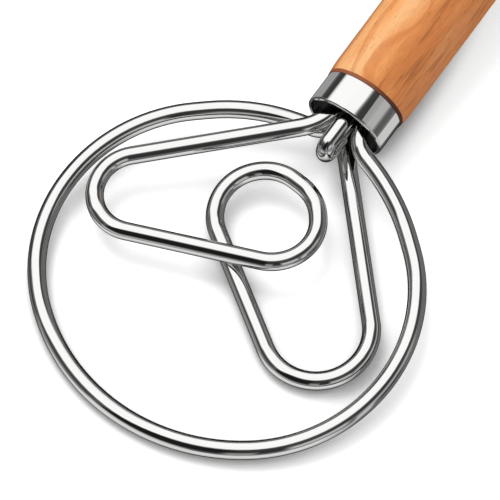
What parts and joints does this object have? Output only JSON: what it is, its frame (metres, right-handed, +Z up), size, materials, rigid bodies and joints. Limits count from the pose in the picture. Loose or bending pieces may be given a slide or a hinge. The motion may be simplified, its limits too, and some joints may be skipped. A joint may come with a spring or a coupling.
{
  "type": "dough whisk",
  "caption": "Hand whisk for stiff dough: flat outer ring and looped inner coil of bent steel wire, held by a short ferrule on a turned wooden handle.",
  "frame": {"origin": "centre of the bounding box at the table the whisk lies on", "axes": "+X from the ring towards the handle's butt, +Y to the left of someone who looks along +X, +Z up. The whisk lies as it rests on a table: the ring's far edge and the ferrule's lip touch the table, and the handle rises."},
  "size_m": [0.2564, 0.1088, 0.0416],
  "materials": {
    "polished_wire": "polished stainless steel",
    "polished_ferrule": "polished stainless steel",
    "beech": "oiled beech with a dark shoulder band",
    "adhesive": "set resin"
  },
  "bodies": {
    "root": {"outer_ring": "polished_wire", "inner_coil": "polished_wire", "throat_loop": "polished_wire", "ferrule": "polished_ferrule", "handle": "beech", "socket_adhesive": "adhesive"}
  },
  "joints": []
}
